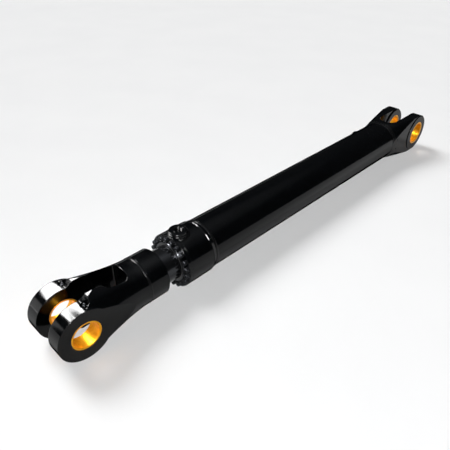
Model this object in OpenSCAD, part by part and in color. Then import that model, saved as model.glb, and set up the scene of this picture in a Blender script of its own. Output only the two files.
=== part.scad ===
// Two-stage telescopic hydraulic cylinder with a clevis at each end.
// The cylinder lies along +X. The origin is the centre of the base clevis pin, the pins run along Y,
// and the head port points up (+Z). All sizes are in millimetres, with both stages retracted.

/* [Overall] */
// Distance between the two pin centres with both stages retracted
pin_to_pin = 2178; // [2160:1:2240]

/* [Barrel] */
// Outside diameter of the barrel tube
barrel_od = 200; // [198:1:202]
// Bore of the barrel tube
barrel_bore = 170; // [169:0.5:171]
// Where the barrel tube meets the base clevis
tube_rear_x = 262; // [260:1:264]
// Where the barrel tube meets the head
head_seam_x = 1628; // [1620:1:1634]
// Where the taper of the head ends
head_taper_x = 1649; // [1646:1:1652]
// Outside diameter of the head
head_od = 212; // [210:1:214]

/* [Gland] */
// Where the gland flange meets the head
gland_seam_x = 1756; // [1754:1:1760]
// Thickness of the gland flange
gland_flange_t = 14; // [13:1:15]
// Outside diameter of the gland flange
gland_flange_od = 212; // [210:1:214]
// Number of gland screws
gland_screws = 20; // [16:2:20]
// Pitch circle of the gland screws
gland_screw_pcd = 186; // [185:0.5:187]
// Depth that the gland reaches behind its seam
gland_depth = 101; // [99:1:104]

/* [Stages] */
// Outside diameter of the intermediate stage
sleeve_od = 152; // [151:0.5:153]
// Bore of the intermediate stage
sleeve_bore = 140; // [139:0.5:141]
// Outside diameter of the rod, the last stage
rod_od = 135; // [134:0.5:135]
// Bore of the hollow rod
rod_bore = 100; // [96:1:102]

/* [Base clevis] */
// Radius of the eye
base_eye_r = 101.4; // [100:0.2:103]
// Width over the outer pads
base_width = 207; // [206:1:208]
// Gap between the inner pads
base_gap = 83; // [81:1:85]
// Width over the ears, without the pads
base_ear_width = 200; // [199:1:201]
// Gap between the ears, without the pads
base_slot = 96; // [94:1:98]
// Pin bore of the bushings
base_pin_d = 110; // [108:1:112]
// Outside diameter of the bushings
base_bush_od = 128; // [126:1:130]
// Slope of the cone that joins the ears to the barrel
base_cone_slope = 0.19; // [0.18:0.01:0.2]

/* [Rod clevis] */
// Radius of the eye
rod_eye_r = 94; // [93:0.5:95]
// Width over the ears
rod_width = 186; // [185:1:187]
// Gap between the ears
rod_slot = 75; // [73:1:77]
// Pin bore of the bushings
rod_pin_d = 90; // [88:1:92]
// Outside diameter of the bushings
rod_bush_od = 103; // [102:1:105]
// Distance from the pin to the bottom of the slot
rod_slot_depth = 198; // [196:1:200]
// Width of the relief that is milled behind the eyes' inner faces
rod_relief = 102; // [100:1:104]
// Height of the shoulder behind each eye, from the axis
shoulder_h = 106; // [104:1:107]

/* [Rod end] */
// Where the rod end collar starts
collar_rear_x = 1846; // [1844:1:1850]
// Where the collar is welded to the rod clevis
collar_seam_x = 1924; // [1920:1:1926]
// Outside diameter of the collar
collar_od = 176; // [174:1:178]

/* [Ports] */
// Where the head port sits along the barrel
head_port_x = 1732; // [1728:1:1734]
// Where the base port sits along the barrel
base_port_x = 322; // [321:1:330]
// Height of the port faces above the axis
port_face = 121; // [120:1:123]
// Radius of the port bosses
port_boss_r = 37; // [36:1:38]
// Radius of the threaded port hole
port_hole_r = 15.15; // [14:0.05:15.5]

/* [Hidden] */

fine = 128;
fixed_gap = 0.02;      // radial gap between pieces that don't move on each other
running_gap = 0.05;    // radial gap between pieces that slide or turn
far = 400;             // longer than any cut needs

barrel_r = barrel_od / 2;
bore_r = barrel_bore / 2;
head_r = head_od / 2;
sleeve_r = sleeve_od / 2;
sleeve_bore_r = sleeve_bore / 2;
rod_r = rod_od / 2;
rod_bore_r = rod_bore / 2;
collar_r = collar_od / 2;

// base clevis
cone_x = 284;                                       // where the cone would meet the tube's surface
spigot_len = 14;
spigot_face_x = tube_rear_x + spigot_len;
weld_root_r = 92;
base_weld_rear_x = tube_rear_x - 10;
base_weld_front_x = tube_rear_x + 17;
tube_bevel = 8;
base_pad_r = base_eye_r - 2.4;
slot_centre_x = 177;
side_hole_x = 228;
side_hole_z = 26;
side_hole_r = 4.25;
side_hole_depth = 20;
function base_cone_r(x) = barrel_r + (cone_x - x) * base_cone_slope;

// rod clevis
rod_x = pin_to_pin;
slot_root_x = rod_x - rod_slot_depth;
slot_round_x = slot_root_x + rod_slot / 2;
relief_rear_r = 22;                                 // corner radii of the relief in the slot
relief_front_r = 35;
relief_front_x = slot_root_x + 105;
flare_x = 1940;                                     // where the flare leaves the plain shank
flare_rate = 0.01153;
shoulder_x = rod_x - 46;
shoulder_foot_x = rod_x - 22;
clevis_spigot_r = 45;
clevis_spigot_len = 14;
collar_weld_depth = 6;
port_floor_z = 104;                                 // where the port thread ends above the axis
port_passage_r = 7;
function flare_r(x) = collar_r + flare_rate * pow(max(0, x - flare_x), 1.5);

// gland and its grooves
gland_front_x = gland_seam_x + gland_flange_t;
gland_rear_x = gland_seam_x - gland_depth;
nest_r = 80;                                        // outside radius of the sleeve head
nest_x = 1736;
wiper_len = 10;
seal_depth = 5;
guide_depth = 2.5;
gland_seal_x = 1709;
gland_seal_len = 10;
guide_len = 20;
gland_guide_front_x = 1685;
gland_guide_rear_x = gland_rear_x + 7;
gallery_r = bore_r - 1.5;                           // annular path from the head port to the chamber
gallery_end_x = 1741;
oring_x = 1747;
oring_groove_len = 5.5;
oring_groove_r = bore_r - 2.4;
backup_len = 1.6;
screw_r = 6;
screw_head_r = 9;
screw_head_h = 12;
screw_len = 35;
screw_socket_af = 10;
screw_socket_depth = 6;
screw_clear_r = 6.75;

// sleeve
piston_rear_x = spigot_face_x + 64;                 // leaves the chamber that the base port feeds
piston_len = 90;
piston_front_x = piston_rear_x + piston_len;
piston_lip = 8;
sleeve_rear_x = piston_rear_x + piston_lip;
sleeve_front_x = 1760;
sleeve_head_front_x = 1779;
piston_guide_len = 20;
piston_guide_rear_x = piston_rear_x + 12;
piston_guide_front_x = piston_front_x - 28;
piston_seal_x = piston_rear_x + 40;
piston_seal_len = 12;
piston_seal_depth = 6.5;
lock_screw_x = piston_rear_x + 57;
lock_screw_r = 3;
lock_screw_count = 3;
stop_tube_len = 24;
rod_wiper_len = 8;
rod_seal_x = sleeve_front_x + 2;
rod_seal_len = 7;
rod_seal_depth = 6;
guide_bush_len = 60;
guide_bush_x = sleeve_front_x - guide_bush_len;

// rod foot
foot_stud_r = 40;
foot_stud_rear_x = sleeve_rear_x + 4;
foot_nut_x = foot_stud_rear_x + 4;
foot_nut_len = 27;
foot_nut_r = 60;
foot_piston_x = foot_nut_x + foot_nut_len;
rod_rear_x = foot_piston_x + 55;
foot_plug_len = 45;
foot_guide_len = 14;
foot_guide_depth = 2.5;
foot_guide_rear_x = foot_piston_x + 8;
foot_guide_front_x = rod_rear_x - 22;
oil_slots = 6;
oil_slot_w = 10;
oil_slot_depth = 1.5;
rod_stop_len = 61;
rod_front_x = collar_seam_x - clevis_spigot_len;

// grease nipples
nipple_hex_r = 6.35;
nipple_thread_r = 4;
nipple_thread_len = 8;
grease_channel_r = 1.5;
rod_nipple_angle = 105;
rod_pocket_r = 13;                                  // milled pocket round each nipple of the rod clevis
rod_pocket_depth = 6;
rod_nipple_seat_r = rod_eye_r - rod_pocket_depth;
base_nipple_angle = 225;
rod_nipple_y = (rod_width + rod_slot) / 4;
base_nipple_y = (base_ear_width + base_slot) / 4;

// --- helpers -------------------------------------------------------------------------------------

// turns a profile of [radius, x] points about the cylinder's axis
module turned(profile) {
    rotate([90, 0, 90]) rotate_extrude($fn = fine) polygon(profile);
}

// a plain tube between two stations on the axis
module tube(x0, x1, outer_r, inner_r) {
    turned([[inner_r, x0], [outer_r, x0], [outer_r, x1], [inner_r, x1]]);
}

// a round bar between two stations on the axis
module bar(x0, x1, r) {
    translate([x0, 0, 0]) rotate([0, 90, 0]) cylinder(r = r, h = x1 - x0, $fn = fine);
}

// a disc across the width of a clevis, about a pin axis at x
module pin_disc(x, y0, y1, r) {
    translate([x, y0, 0]) rotate([-90, 0, 0]) cylinder(r = r, h = y1 - y0, $fn = fine);
}

// a pad of a clevis ear, with a small bevel at its outer face
module pad(x, y0, y1, r) {
    bevel = 1.2;
    out = y1 > 0 ? 1 : -1;
    translate([x, y0, 0]) rotate([-90 * out, 0, 0])
        rotate_extrude($fn = fine)
            polygon([[0, 0], [r, 0], [r, abs(y1 - y0) - bevel], [r - bevel, abs(y1 - y0)],
                     [0, abs(y1 - y0)]]);
}

// a seal ring that fills its groove, with one lip bevelled towards the moving surface
module seal_ring(x0, len, inner_r, outer_r) {
    lip = 1.5;
    turned([[inner_r + lip, x0], [outer_r, x0], [outer_r, x0 + len], [inner_r, x0 + len],
            [inner_r, x0 + len / 2]]);
}

// a guide ring with its slanted joint
module guide_ring(x0, len, inner_r, outer_r) {
    joint_w = 3;
    difference() {
        tube(x0, x0 + len, outer_r, inner_r);
        translate([x0 + len / 2, 0, outer_r]) rotate([0, 0, 30])
            cube([3 * len, joint_w, outer_r - inner_r + 12], center = true);
    }
}

// a bushing pressed into one ear: flanks at y0 and y1, with bevelled mouths
module bushing(x, y0, y1, outer_r, inner_r) {
    mouth = 1.5;
    len = y1 - y0;
    translate([x, y0, 0]) rotate([-90, 0, 0]) rotate_extrude($fn = fine)
        polygon([[inner_r + mouth, 0], [outer_r - fixed_gap, 0], [outer_r - fixed_gap, len],
                 [inner_r + mouth, len], [inner_r, len - mouth], [inner_r, mouth]]);
}

// a grease nipple that stands on an eye's rim at an angle about the pin, with its thread inside
module nipple(x, y, rim_r, angle) {
    translate([x, y, 0]) rotate([0, 90 - angle, 0]) translate([0, 0, rim_r]) {
        translate([0, 0, -nipple_thread_len])
            cylinder(r = nipple_thread_r - fixed_gap, h = nipple_thread_len, $fn = fine);
        cylinder(r = nipple_hex_r, h = 5, $fn = 6);
        translate([0, 0, 5]) rotate_extrude($fn = 48)
            polygon([[0, 0], [4.6, 0], [3, 2.5], [3, 4], [3.9, 5.5], [3.4, 8], [1.6, 9], [0, 9]]);
    }
}

// the drilled seat and channel of a grease nipple, at the floor of a round milled pocket
module nipple_hole(x, y, rim_r, angle, pocket_r = nipple_hex_r + 2) {
    translate([x, y, 0]) rotate([0, 90 - angle, 0]) {
        translate([0, 0, rim_r - nipple_thread_len])
            cylinder(r = nipple_thread_r, h = far, $fn = fine);
        cylinder(r = grease_channel_r, h = rim_r, $fn = 24);
        translate([0, 0, rim_r]) cylinder(r = pocket_r, h = far, $fn = fine);
    }
}

// places a child on each gland screw's axis, at the flange's front face, pointing along +X;
// the screws straddle the port, so their holes pass on both sides of its passage
module at_gland_screws() {
    for (i = [0 : gland_screws - 1])
        rotate([(i + 0.5) * 360 / gland_screws, 0, 0]) translate([gland_front_x, gland_screw_pcd / 2, 0])
            rotate([0, 90, 0]) children();
}

// --- base clevis ---------------------------------------------------------------------------------

// the cone and its spigot, before the ears are cut
module base_blank() {
    blank_rear_x = -base_eye_r - 10;
    turned([[0, blank_rear_x], [base_cone_r(blank_rear_x), blank_rear_x],
            [base_cone_r(base_weld_rear_x), base_weld_rear_x], [weld_root_r, tube_rear_x],
            [bore_r - fixed_gap, tube_rear_x], [bore_r - fixed_gap, spigot_face_x - 4],
            [bore_r - 4, spigot_face_x], [0, spigot_face_x]]);
}

// everything inside the ears' flat faces and the eye's outline
module base_envelope() {
    translate([0, base_ear_width / 2, 0]) rotate([90, 0, 0])
        linear_extrude(base_ear_width) {
            circle(r = base_eye_r, $fn = fine);
            translate([0, -base_eye_r]) square([spigot_face_x + 10, 2 * base_eye_r]);
        }
}

module base_slot_cut() {
    translate([0, 0, -far / 2]) linear_extrude(far) {
        translate([-far / 2, -base_slot / 2]) square([far / 2 + slot_centre_x, base_slot]);
        translate([slot_centre_x, 0]) circle(r = base_slot / 2, $fn = fine);
    }
}

module base_clevis() {
    color([0.05, 0.05, 0.06]) difference() {
        union() {
            difference() {
                intersection() {
                    base_blank();
                    base_envelope();
                }
                base_slot_cut();
            }
            for (side = [-1, 1]) {
                pad(0, side * (base_slot / 2 + 5), side * base_width / 2, base_pad_r);
                pad_inner(side);
            }
        }
        pin_disc(0, -far / 2, far / 2, base_bush_od / 2);
        for (z = [-side_hole_z, side_hole_z])
            translate([side_hole_x, base_ear_width / 2 - side_hole_depth, z]) rotate([-90, 0, 0])
                cylinder(r = side_hole_r, h = far, $fn = fine);
        for (side = [-1, 1])
            nipple_hole(0, side * base_nipple_y, base_eye_r, base_nipple_angle);
    }
}

// the raised pad on the inner face of one ear, with a bevelled rim
module pad_inner(side) {
    bevel = 1.2;
    depth = (base_slot - base_gap) / 2;
    translate([0, side * base_slot / 2, 0]) rotate([90 * side, 0, 0])
        rotate_extrude($fn = fine)
            polygon([[0, -5], [base_pad_r - 2, -5], [base_pad_r - 2, depth - bevel],
                     [base_pad_r - 2 - bevel, depth], [0, depth]]);
}

module base_weld_bead() {
    mid_x = (base_weld_rear_x + base_weld_front_x) / 2;
    color([0.06, 0.06, 0.07]) intersection() {
        turned([[weld_root_r, tube_rear_x], [barrel_r, tube_rear_x + tube_bevel],
                [barrel_r, base_weld_front_x], [barrel_r + 1.8, base_weld_front_x - 2.5],
                [barrel_r + 3, mid_x + 4], [barrel_r + 2.6, mid_x + 1], [barrel_r + 4.6, mid_x - 2.5],
                [barrel_r + 5.8, base_weld_rear_x + 3],
                [base_cone_r(base_weld_rear_x), base_weld_rear_x]]);
        base_envelope();
    }
}

module base_bushing_left() {
    color([0.8, 0.5, 0.12])
        bushing(0, base_gap / 2, base_width / 2, base_bush_od / 2, base_pin_d / 2);
}

module base_bushing_right() {
    color([0.8, 0.5, 0.12])
        bushing(0, -base_width / 2, -base_gap / 2, base_bush_od / 2, base_pin_d / 2);
}

module base_grease_nipples() {
    color([0.7, 0.7, 0.68]) for (side = [-1, 1])
        nipple(0, side * base_nipple_y, base_eye_r, base_nipple_angle);
}

// --- barrel --------------------------------------------------------------------------------------

module barrel_tube() {
    seam_bevel = 6;
    color([0.04, 0.04, 0.05]) difference() {
        turned([[bore_r, tube_rear_x], [weld_root_r, tube_rear_x],
                [barrel_r, tube_rear_x + tube_bevel], [barrel_r, head_seam_x - seam_bevel],
                [weld_root_r, head_seam_x], [bore_r, head_seam_x]]);
        translate([base_port_x, 0, 0]) rotate([90, 0, 0]) port_drilling();
    }
}

module head_weld_bead() {
    seam_bevel = 6;
    color([0.06, 0.06, 0.07])
        turned([[weld_root_r, head_seam_x], [barrel_r, head_seam_x - seam_bevel],
                [barrel_r + 0.9, head_seam_x - seam_bevel + 1.5], [barrel_r + 1.6, head_seam_x],
                [barrel_r + 1.2, head_seam_x + 4], [barrel_r + 0.4, head_seam_x + seam_bevel]]);
}

module barrel_head() {
    seam_bevel = 6;
    rim = 1.5;
    // a shallow turned groove where the taper meets the full diameter
    groove_depth = 1.8;
    groove_slope_len = 2.5;
    groove_len = 3.4;
    color([0.05, 0.05, 0.06]) difference() {
        turned([[bore_r, head_seam_x], [weld_root_r, head_seam_x],
                [barrel_r + 0.4, head_seam_x + seam_bevel], [head_r, head_taper_x],
                [head_r - groove_depth, head_taper_x + groove_slope_len],
                [head_r, head_taper_x + groove_len],
                [head_r, gland_seam_x - rim], [head_r - rim, gland_seam_x], [bore_r, gland_seam_x]]);
        at_gland_screws() translate([0, 0, -screw_len - 1])
            cylinder(r = screw_r + fixed_gap, h = screw_len + 5, $fn = fine);
        translate([head_port_x, 0, 0]) port_drilling();
    }
}

// --- ports ---------------------------------------------------------------------------------------

// a round port boss that stands on a tube of radius body_r, along +Z at the origin
module port_boss(body_r) {
    spot_r = port_boss_r - 3;
    step = 8;
    difference() {
        rotate_extrude($fn = fine)
            polygon([[0, 0], [port_boss_r, 0], [port_boss_r, port_face - step - 2],
                     [port_boss_r - 2, port_face - step], [spot_r + 1, port_face - step],
                     [spot_r, port_face - step + 1], [spot_r, port_face - 1],
                     [spot_r - 1, port_face], [0, port_face]]);
        rotate([0, 90, 0]) cylinder(r = body_r, h = far, center = true, $fn = fine);
        port_drilling();
    }
}

// the threaded hole of a port and the passage below it, along +Z at the origin
module port_drilling() {
    mouth = 1.2;
    cylinder(r = port_passage_r, h = far, $fn = fine);
    translate([0, 0, port_floor_z]) cylinder(r = port_hole_r, h = far, $fn = fine);
    translate([0, 0, port_face - mouth])
        cylinder(r1 = port_hole_r, r2 = port_hole_r + mouth, h = mouth, $fn = fine);
}

// the fillet weld round the foot of a port boss
module port_weld(body_r) {
    leg = 7;
    drop = 8;
    difference() {
        rotate_extrude($fn = fine)
            polygon([[port_boss_r, body_r - drop - 10], [port_boss_r + leg, body_r - drop - 10],
                     [port_boss_r + leg, body_r - drop], [port_boss_r + leg * 0.6, body_r - 2],
                     [port_boss_r, body_r + 5]]);
        rotate([0, 90, 0]) cylinder(r = body_r, h = far, center = true, $fn = fine);
    }
}

module head_port_boss() {
    // the side of the boss that overhangs the gland flange stands clear of it
    clear = 0.5;
    color([0.05, 0.05, 0.06]) difference() {
        translate([head_port_x, 0, 0]) port_boss(head_r);
        translate([gland_seam_x - clear, -far / 2, 0]) cube([far, far, head_r + 2 * clear]);
    }
}

module head_port_weld() {
    color([0.06, 0.06, 0.07]) intersection() {
        translate([head_port_x, 0, 0]) port_weld(head_r);
        translate([head_taper_x, -far / 2, 0]) cube([gland_seam_x - head_taper_x - 1.5, far, far]);
    }
}

module base_port_boss() {
    color([0.05, 0.05, 0.06]) translate([base_port_x, 0, 0]) rotate([90, 0, 0]) port_boss(barrel_r);
}

module base_port_weld() {
    color([0.06, 0.06, 0.07]) translate([base_port_x, 0, 0]) rotate([90, 0, 0]) port_weld(barrel_r);
}

// --- gland ---------------------------------------------------------------------------------------

module gland_flange() {
    slide_r = sleeve_r + running_gap;
    flange_r = gland_flange_od / 2;
    bevel = 1.5;
    color([0.05, 0.05, 0.06]) difference() {
        turned([[slide_r, gland_rear_x], [gallery_r - 1, gland_rear_x], [gallery_r, gland_rear_x + 2],
                [gallery_r, gallery_end_x], [bore_r - fixed_gap, gallery_end_x + 3],
                [bore_r - fixed_gap, oring_x], [oring_groove_r, oring_x],
                [oring_groove_r, oring_x + oring_groove_len],
                [bore_r - fixed_gap, oring_x + oring_groove_len], [bore_r - fixed_gap, gland_seam_x],
                [flange_r, gland_seam_x], [flange_r, gland_front_x - bevel],
                [flange_r - bevel, gland_front_x], [nest_r + running_gap + 1, gland_front_x],
                [nest_r + running_gap, gland_front_x - 1], [nest_r + running_gap, nest_x],
                [slide_r + seal_depth, nest_x], [slide_r + seal_depth, nest_x - wiper_len],
                [slide_r, nest_x - wiper_len],
                [slide_r, gland_seal_x + gland_seal_len],
                [slide_r + seal_depth, gland_seal_x + gland_seal_len],
                [slide_r + seal_depth, gland_seal_x], [slide_r, gland_seal_x],
                [slide_r, gland_guide_front_x + guide_len],
                [slide_r + guide_depth, gland_guide_front_x + guide_len],
                [slide_r + guide_depth, gland_guide_front_x], [slide_r, gland_guide_front_x],
                [slide_r, gland_guide_rear_x + guide_len],
                [slide_r + guide_depth, gland_guide_rear_x + guide_len],
                [slide_r + guide_depth, gland_guide_rear_x], [slide_r, gland_guide_rear_x]]);
        at_gland_screws() translate([0, 0, -gland_flange_t - 1])
            cylinder(r = screw_clear_r, h = gland_flange_t + 2, $fn = fine);
    }
}

module gland_screw() {
    difference() {
        union() {
            translate([0, 0, -screw_len]) cylinder(r = screw_r, h = screw_len, $fn = fine);
            rotate_extrude($fn = 64)
                polygon([[0, 0], [screw_head_r, 0], [screw_head_r, screw_head_h - 1],
                         [screw_head_r - 1, screw_head_h], [0, screw_head_h]]);
        }
        translate([0, 0, screw_head_h - screw_socket_depth])
            cylinder(r = screw_socket_af / sqrt(3), h = screw_head_h, $fn = 6);
    }
}

module gland_screws_set() {
    color([0.08, 0.08, 0.09]) at_gland_screws() translate([0, 0, fixed_gap]) gland_screw();
}

module gland_o_ring() {
    section_r = 1.17;
    color([0.02, 0.02, 0.02]) rotate([90, 0, 90]) rotate_extrude($fn = fine)
        translate([(bore_r + oring_groove_r) / 2, oring_x + 2.1])
            circle(r = section_r, $fn = 48);
}

module gland_backup_ring() {
    color([0.85, 0.83, 0.75])
        tube(oring_x + oring_groove_len - backup_len, oring_x + oring_groove_len - 0.1,
            bore_r - 0.05, oring_groove_r + 0.05);
}

module gland_wiper() {
    color([0.45, 0.08, 0.06]) seal_ring(nest_x - wiper_len + 0.1, wiper_len - 0.2,
        sleeve_r + running_gap, sleeve_r + running_gap + seal_depth - fixed_gap);
}

module gland_rod_seal() {
    color([0.1, 0.25, 0.5]) seal_ring(gland_seal_x + 0.1, gland_seal_len - 0.2,
        sleeve_r + running_gap, sleeve_r + running_gap + seal_depth - fixed_gap);
}

module gland_guide_front() {
    color([0.45, 0.35, 0.2]) guide_ring(gland_guide_front_x + 0.1, guide_len - 0.2,
        sleeve_r + running_gap, sleeve_r + running_gap + guide_depth - fixed_gap);
}

module gland_guide_rear() {
    color([0.45, 0.35, 0.2]) guide_ring(gland_guide_rear_x + 0.1, guide_len - 0.2,
        sleeve_r + running_gap, sleeve_r + running_gap + guide_depth - fixed_gap);
}

// --- intermediate stage --------------------------------------------------------------------------

module at_lock_screws() {
    for (i = [0 : lock_screw_count - 1])
        rotate([i * 360 / lock_screw_count, 0, 0]) translate([lock_screw_x, 0, 0]) children();
}

module sleeve_tube() {
    lock_depth = 3;
    color([0.1, 0.1, 0.11]) difference() {
        tube(sleeve_rear_x, sleeve_front_x, sleeve_r, sleeve_bore_r);
        at_lock_screws() translate([0, 0, sleeve_r - lock_depth])
            cylinder(r = lock_screw_r, h = far, $fn = fine);
    }
}

module sleeve_head() {
    slide_r = rod_r + running_gap;
    nose_len = 2.6;
    nose_drop = 2;
    color([0.09, 0.09, 0.1])
        turned([[sleeve_r + fixed_gap, nest_x + 0.5], [nest_r - 1, nest_x + 0.5],
                [nest_r, nest_x + 1.5], [nest_r, sleeve_head_front_x - nose_len],
                [nest_r - nose_drop, sleeve_head_front_x], [slide_r + rod_seal_depth, sleeve_head_front_x],
                [slide_r + rod_seal_depth, sleeve_head_front_x - rod_wiper_len],
                [slide_r, sleeve_head_front_x - rod_wiper_len],
                [slide_r, rod_seal_x + rod_seal_len],
                [slide_r + rod_seal_depth, rod_seal_x + rod_seal_len],
                [slide_r + rod_seal_depth, rod_seal_x], [slide_r, rod_seal_x],
                [slide_r, sleeve_front_x], [sleeve_r + fixed_gap, sleeve_front_x]]);
}

module sleeve_wiper() {
    color([0.45, 0.08, 0.06])
        seal_ring(sleeve_head_front_x - rod_wiper_len + 0.1, rod_wiper_len - 0.3,
            rod_r + running_gap, rod_r + running_gap + rod_seal_depth - fixed_gap);
}

module sleeve_rod_seal() {
    color([0.1, 0.25, 0.5]) seal_ring(rod_seal_x + 0.1, rod_seal_len - 0.2,
        rod_r + running_gap, rod_r + running_gap + rod_seal_depth - fixed_gap);
}

module sleeve_guide_bush() {
    color([0.72, 0.48, 0.16])
        tube(guide_bush_x, sleeve_front_x, sleeve_bore_r - fixed_gap, rod_r + running_gap);
}

module sleeve_piston() {
    outer_r = bore_r - running_gap;
    guide_r = outer_r - guide_depth;
    seal_r = outer_r - piston_seal_depth;
    throat_r = 62;
    bevel = 2;
    color([0.55, 0.56, 0.58]) difference() {
        turned([[throat_r, piston_rear_x], [outer_r - bevel, piston_rear_x],
                [outer_r, piston_rear_x + bevel], [outer_r, piston_guide_rear_x],
                [guide_r, piston_guide_rear_x], [guide_r, piston_guide_rear_x + piston_guide_len],
                [outer_r, piston_guide_rear_x + piston_guide_len], [outer_r, piston_seal_x],
                [seal_r, piston_seal_x], [seal_r, piston_seal_x + piston_seal_len],
                [outer_r, piston_seal_x + piston_seal_len], [outer_r, piston_guide_front_x],
                [guide_r, piston_guide_front_x], [guide_r, piston_guide_front_x + piston_guide_len],
                [outer_r, piston_guide_front_x + piston_guide_len], [outer_r, piston_front_x - bevel],
                [outer_r - bevel, piston_front_x], [sleeve_r + fixed_gap, piston_front_x],
                [sleeve_r + fixed_gap, sleeve_rear_x], [throat_r, sleeve_rear_x]]);
        at_lock_screws() translate([0, 0, sleeve_r - 1])
            cylinder(r = lock_screw_r, h = far, $fn = fine);
    }
}

module sleeve_piston_seal() {
    lip = 1.5;
    outer_r = bore_r - running_gap;
    inner_r = outer_r - piston_seal_depth + fixed_gap;
    color([0.1, 0.25, 0.5])
        turned([[inner_r, piston_seal_x + 0.1], [outer_r - lip, piston_seal_x + 0.1],
                [outer_r, piston_seal_x + piston_seal_len / 2],
                [outer_r - lip, piston_seal_x + piston_seal_len - 0.1],
                [inner_r, piston_seal_x + piston_seal_len - 0.1]]);
}

module sleeve_piston_guide_front() {
    outer_r = bore_r - running_gap;
    color([0.45, 0.35, 0.2]) guide_ring(piston_guide_front_x + 0.1, piston_guide_len - 0.2,
        outer_r - guide_depth + fixed_gap, outer_r);
}

module sleeve_piston_guide_rear() {
    outer_r = bore_r - running_gap;
    color([0.45, 0.35, 0.2]) guide_ring(piston_guide_rear_x + 0.1, piston_guide_len - 0.2,
        outer_r - guide_depth + fixed_gap, outer_r);
}

module sleeve_lock_screws() {
    lock_depth = 3;
    screw_top = bore_r - 1;
    color([0.3, 0.3, 0.32]) at_lock_screws() translate([0, 0, sleeve_r - lock_depth])
        cylinder(r = lock_screw_r - fixed_gap, h = screw_top - sleeve_r + lock_depth, $fn = fine);
}

module sleeve_stop_tube() {
    color([0.5, 0.51, 0.53])
        tube(piston_front_x, piston_front_x + stop_tube_len, bore_r - 1, sleeve_r + 0.5);
}

// --- last stage ----------------------------------------------------------------------------------

module rod_tube() {
    bevel = 3;
    color([0.1, 0.1, 0.11])
        turned([[rod_bore_r, rod_rear_x], [rod_r, rod_rear_x], [rod_r, rod_front_x - bevel],
                [rod_r - bevel, rod_front_x], [rod_bore_r, rod_front_x]]);
}

module rod_foot_plug() {
    color([0.5, 0.51, 0.53]) {
        turned([[0, foot_stud_rear_x], [foot_stud_r - 2, foot_stud_rear_x],
                [foot_stud_r, foot_stud_rear_x + 2], [foot_stud_r, rod_rear_x],
                [rod_bore_r - fixed_gap, rod_rear_x],
                [rod_bore_r - fixed_gap, rod_rear_x + foot_plug_len], [0, rod_rear_x + foot_plug_len]]);
    }
}

module rod_foot_piston() {
    outer_r = sleeve_bore_r - running_gap;
    guide_r = outer_r - foot_guide_depth;
    bevel = 1.5;
    color([0.55, 0.56, 0.58]) difference() {
        turned([[foot_stud_r + fixed_gap, foot_piston_x], [outer_r - bevel, foot_piston_x],
                [outer_r, foot_piston_x + bevel], [outer_r, foot_guide_rear_x],
                [guide_r, foot_guide_rear_x], [guide_r, foot_guide_rear_x + foot_guide_len],
                [outer_r, foot_guide_rear_x + foot_guide_len], [outer_r, foot_guide_front_x],
                [guide_r, foot_guide_front_x], [guide_r, foot_guide_front_x + foot_guide_len],
                [outer_r, foot_guide_front_x + foot_guide_len], [outer_r, rod_rear_x],
                [foot_stud_r + fixed_gap, rod_rear_x]]);
        for (i = [0 : oil_slots - 1])
            rotate([i * 360 / oil_slots, 0, 0])
                translate([foot_piston_x - 1, -oil_slot_w / 2, outer_r - oil_slot_depth])
                    cube([rod_rear_x - foot_piston_x + 2, oil_slot_w, far]);
    }
}

module rod_foot_nut() {
    color([0.4, 0.41, 0.43]) difference() {
        translate([foot_nut_x, 0, 0]) rotate([0, 90, 0])
            cylinder(r = foot_nut_r, h = foot_nut_len, $fn = 6);
        bar(foot_nut_x - 1, foot_nut_x + foot_nut_len + 1, foot_stud_r + fixed_gap);
    }
}

module rod_guide_front() {
    outer_r = sleeve_bore_r - running_gap;
    color([0.45, 0.35, 0.2]) guide_ring(foot_guide_front_x + 0.1, foot_guide_len - 0.2,
        outer_r - foot_guide_depth + running_gap, outer_r);
}

module rod_guide_rear() {
    outer_r = sleeve_bore_r - running_gap;
    color([0.45, 0.35, 0.2]) guide_ring(foot_guide_rear_x + 0.1, foot_guide_len - 0.2,
        outer_r - foot_guide_depth + running_gap, outer_r);
}

module rod_stop_tube() {
    color([0.5, 0.51, 0.53])
        tube(rod_rear_x, rod_rear_x + rod_stop_len, sleeve_bore_r - 0.2, rod_r + 0.1);
}

module rod_end_collar() {
    bevel = 4;
    color([0.05, 0.05, 0.06])
        turned([[rod_r + fixed_gap, collar_rear_x], [collar_r - bevel, collar_rear_x],
                [collar_r, collar_rear_x + bevel], [collar_r, collar_seam_x - 4],
                [collar_r - collar_weld_depth, collar_seam_x], [clevis_spigot_r, collar_seam_x],
                [clevis_spigot_r, rod_front_x], [rod_r + fixed_gap, rod_front_x]]);
}

module clevis_weld_bead() {
    color([0.06, 0.06, 0.07])
        turned([[collar_r - collar_weld_depth, collar_seam_x], [collar_r, collar_seam_x - 4],
                [collar_r + 0.7, collar_seam_x - 2], [collar_r + 0.9, collar_seam_x],
                [collar_r + 0.7, collar_seam_x + 2], [collar_r, collar_seam_x + 4]]);
}

// --- rod clevis ----------------------------------------------------------------------------------

// the turned shank that flares towards the eyes
module clevis_flare() {
    steps = 28;
    turned(concat(
        [[0, rod_front_x + 0.5], [clevis_spigot_r - fixed_gap, rod_front_x + 0.5],
         [clevis_spigot_r - fixed_gap, collar_seam_x], [collar_r - collar_weld_depth, collar_seam_x],
         [collar_r, collar_seam_x + 4]],
        [for (i = [0 : steps])
            let (x = flare_x + (shoulder_foot_x - flare_x) * i / steps) [flare_r(x), x]],
        [[0, shoulder_foot_x]]));
}

// side outline of the fork behind the eyes, with the sloping shoulder
module clevis_side() {
    foot_z = sqrt(pow(rod_eye_r, 2) - pow(rod_x - shoulder_foot_x, 2)) - 0.5;
    polygon([[rod_front_x, -shoulder_h], [shoulder_x, -shoulder_h], [shoulder_foot_x, -foot_z],
             [shoulder_foot_x, foot_z], [shoulder_x, shoulder_h], [rod_front_x, shoulder_h]]);
}

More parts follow.
